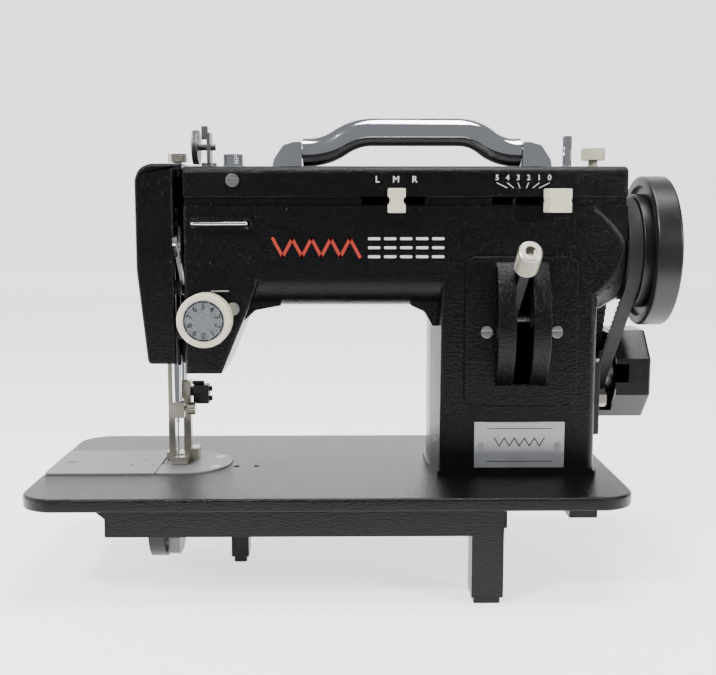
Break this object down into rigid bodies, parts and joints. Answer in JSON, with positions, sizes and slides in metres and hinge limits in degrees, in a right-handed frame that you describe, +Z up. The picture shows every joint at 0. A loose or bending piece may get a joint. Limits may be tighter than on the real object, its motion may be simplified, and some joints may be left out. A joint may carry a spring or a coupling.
{
  "type": "sewing machine",
  "caption": "Portable flatbed walking-foot zigzag sewing machine with a cast arm, side handwheel, belt-driven motor, folding carry handle and short legs.",
  "frame": {"origin": "middle of the machine's whole footprint on the table, at the bottom of the legs", "axes": "+X to the handwheel along the bed, +Y to the rear, +Z up"},
  "size_m": [0.408, 0.183, 0.2935],
  "materials": {
    "black_enamel": "glossy black hammered enamel on cast metal",
    "satin_black": "satin black paint",
    "plate_steel": "satin ground steel plate",
    "bright_steel": "polished steel",
    "tool_steel": "dark machined steel",
    "chrome": "mirror chrome plate",
    "nickel": "nickel-plated steel",
    "cream_plastic": "cream moulded plastic",
    "black_plastic": "glossy black moulded plastic",
    "belt_rubber": "black toothed rubber belt",
    "bronze": "oiled bronze",
    "badge_metal": "brushed aluminium with an etched black mark",
    "dial_metal": "stippled grey metal dial with black numerals"
  },
  "bodies": {
    "machine": {"bed": "black_enamel", "arm_casting": "black_enamel", "top_cover": "black_enamel", "face_plate": "black_enamel", "needle_plate": "plate_steel", "small_screws": "bright_steel", "slotted_screws": "bright_steel", "hex_bolts": "nickel", "cover_nut": "chrome", "length_panel": "black_enamel", "lever_guide": "black_enamel", "lever_pins": "bright_steel", "name_badge": "badge_metal", "handle_brackets": "chrome", "shaft_bushes": "bronze", "drive_belt": "belt_rubber", "motor_bracket": "satin_black", "motor_body": "satin_black", "pulley_guard": "black_plastic", "presser_spring": "bright_steel", "tension_post": "bright_steel", "check_spring": "bright_steel", "thread_guide": "chrome", "pretension": "tool_steel", "shuttle_race": "satin_black", "bobbin_case": "bright_steel"},
    "wheel_shaft": {"main_shaft": "tool_steel", "handwheel": "satin_black"},
    "clutch": {"clutch_knob": "satin_black"},
    "zigzag_drive": {"zigzag_gear": "bronze"},
    "motor_rotor": {"motor_pulley": "bright_steel"},
    "needle_frame": {"needle_bar_frame": "tool_steel"},
    "needle_unit": {"needle_bar": "chrome", "needle_clamp": "nickel", "needle": "bright_steel"},
    "presser_unit": {"presser_bar": "chrome", "presser_foot": "nickel", "thread_cutter": "satin_black"},
    "walking_unit": {"walking_foot": "nickel"},
    "pressure": {"pressure_screw": "nickel"},
    "lifter": {"lifter_lever": "chrome"},
    "take_up": {"take_up_lever": "chrome"},
    "dial": {"tension_dial": "cream_plastic", "dial_face": "dial_metal"},
    "handle": {"carry_handle": "chrome"},
    "slide": {"slide_plate": "plate_steel"},
    "winder": {"winder_spindle": "chrome"},
    "winder_latch": {"winder_stop": "cream_plastic"},
    "length_control": {"length_lever": "tool_steel", "length_knob": "nickel"},
    "position_control": {"position_lever": "bright_steel", "position_knob": "cream_plastic"},
    "width_control": {"width_lever": "bright_steel", "width_knob": "cream_plastic"},
    "feed": {"feed_dog": "tool_steel"},
    "feed_rocker": {"feed_shaft": "tool_steel"},
    "hook_drive": {"hook_shaft": "tool_steel", "shuttle_hook": "bright_steel"},
    "rod": {"connecting_rod": "tool_steel"},
    "bobbin_body": {"bobbin": "bright_steel"}
  },
  "joints": [
    {"name": "main_shaft_turn", "type": "hinge", "parent": "machine", "child": "wheel_shaft", "pos_m": [0.17, -0.0025, 0.2078], "axis": [1, 0, 0], "continuous": true},
    {"name": "clutch_turn", "type": "hinge", "parent": "wheel_shaft", "child": "clutch", "pos_m": [0.196, -0.0025, 0.2078], "axis": [1, 0, 0], "range_deg": [0, 90]},
    {"name": "zigzag_gear_turn", "type": "hinge", "parent": "machine", "child": "zigzag_drive", "pos_m": [0.069, -0.0025, 0.2333], "axis": [1, 0, 0], "continuous": true},
    {"name": "motor_turn", "type": "hinge", "parent": "machine", "child": "motor_rotor", "pos_m": [0.16, 0.0605, 0.1188], "axis": [1, 0, 0], "continuous": true},
    {"name": "zigzag_swing", "type": "hinge", "parent": "machine", "child": "needle_frame", "pos_m": [-0.121, -0.0025, 0.2298], "axis": [0, 1, 0], "range_deg": [-0.9, 0.9]},
    {"name": "needle_bar_stroke", "type": "slide", "parent": "needle_frame", "child": "needle_unit", "axis": [0, 0, 1], "range_m": [-0.017, 0.014]},
    {"name": "presser_lift", "type": "slide", "parent": "machine", "child": "presser_unit", "axis": [0, 0, 1], "range_m": [0, 0.008], "deforming": ["presser_spring"]},
    {"name": "walking_foot_lift", "type": "slide", "parent": "machine", "child": "walking_unit", "axis": [0, 0, 1], "range_m": [0, 0.005]},
    {"name": "pressure_turn", "type": "hinge", "parent": "machine", "child": "pressure", "pos_m": [-0.12, 0.0115, 0.256], "axis": [0, 0, 1], "range_deg": [-360, 360]},
    {"name": "lifter_swing", "type": "hinge", "parent": "machine", "child": "lifter", "pos_m": [-0.0955, 0.0315, 0.1554], "axis": [0, 1, 0], "range_deg": [-80, 0]},
    {"name": "take_up_swing", "type": "hinge", "parent": "machine", "child": "take_up", "pos_m": [-0.1148, -0.0045, 0.1838], "axis": [1, 0, 0], "range_deg": [-10, 60]},
    {"name": "tension_dial_turn", "type": "hinge", "parent": "machine", "child": "dial", "pos_m": [-0.096, -0.0475, 0.167], "axis": [0, 1, 0], "range_deg": [-180, 144]},
    {"name": "handle_fold", "type": "hinge", "parent": "machine", "child": "handle", "pos_m": [0.0335, -0.0025, 0.2715], "axis": [1, 0, 0], "range_deg": [-88, 88]},
    {"name": "slide_plate_pull", "type": "slide", "parent": "machine", "child": "slide", "axis": [-1, 0, 0], "range_m": [0, 0.06]},
    {"name": "winder_spin", "type": "hinge", "parent": "machine", "child": "winder", "pos_m": [0.1346, -0.0025, 0.271], "axis": [0, 0, 1], "continuous": true},
    {"name": "winder_stop_turn", "type": "hinge", "parent": "machine", "child": "winder_latch", "pos_m": [0.1516, -0.0025, 0.271], "axis": [0, 0, 1], "range_deg": [-90, 90]},
    {"name": "stitch_length_swing", "type": "hinge", "parent": "machine", "child": "length_control", "pos_m": [0.1013, 0.0055, 0.163], "axis": [1, 0, 0], "range_deg": [0, 70]},
    {"name": "needle_position_swing", "type": "hinge", "parent": "machine", "child": "position_control", "pos_m": [0.022, 0.0095, 0.24], "axis": [0, 0, 1], "range_deg": [-12.5, 12.5]},
    {"name": "stitch_width_swing", "type": "hinge", "parent": "machine", "child": "width_control", "pos_m": [0.103, 0.0095, 0.24], "axis": [0, 0, 1], "range_deg": [-36, 0]},
    {"name": "feed_stroke", "type": "slide", "parent": "machine", "child": "feed", "axis": [0, 1, 0], "range_m": [-0.0025, 0.0025]},
    {"name": "feed_rock", "type": "hinge", "parent": "machine", "child": "feed_rocker", "pos_m": [-0.02, 0.0455, 0.049], "axis": [1, 0, 0], "range_deg": [-5, 5]},
    {"name": "hook_rock", "type": "hinge", "parent": "machine", "child": "hook_drive", "pos_m": [-0.02, -0.0025, 0.03], "axis": [1, 0, 0], "range_deg": [-90, 90]},
    {"name": "rod_follow", "type": "hinge", "parent": "hook_drive", "child": "rod", "pos_m": [0.08, -0.0145, 0.03], "axis": [1, 0, 0], "range_deg": [-90, 90]},
    {"name": "bobbin_spin", "type": "hinge", "parent": "machine", "child": "bobbin_body", "pos_m": [-0.135, -0.0025, 0.03], "axis": [1, 0, 0], "continuous": true}
  ],
  "couplings": [
    {"joint": "lifter_swing", "follows": "presser_lift", "rad_per_m": -174.53},
    {"joint": "motor_turn", "follows": "main_shaft_turn", "ratio": 2.7097},
    {"joint": "zigzag_gear_turn", "follows": "main_shaft_turn", "ratio": -0.5},
    {"joint": "rod_follow", "follows": "hook_rock", "ratio": -1}
  ]
}
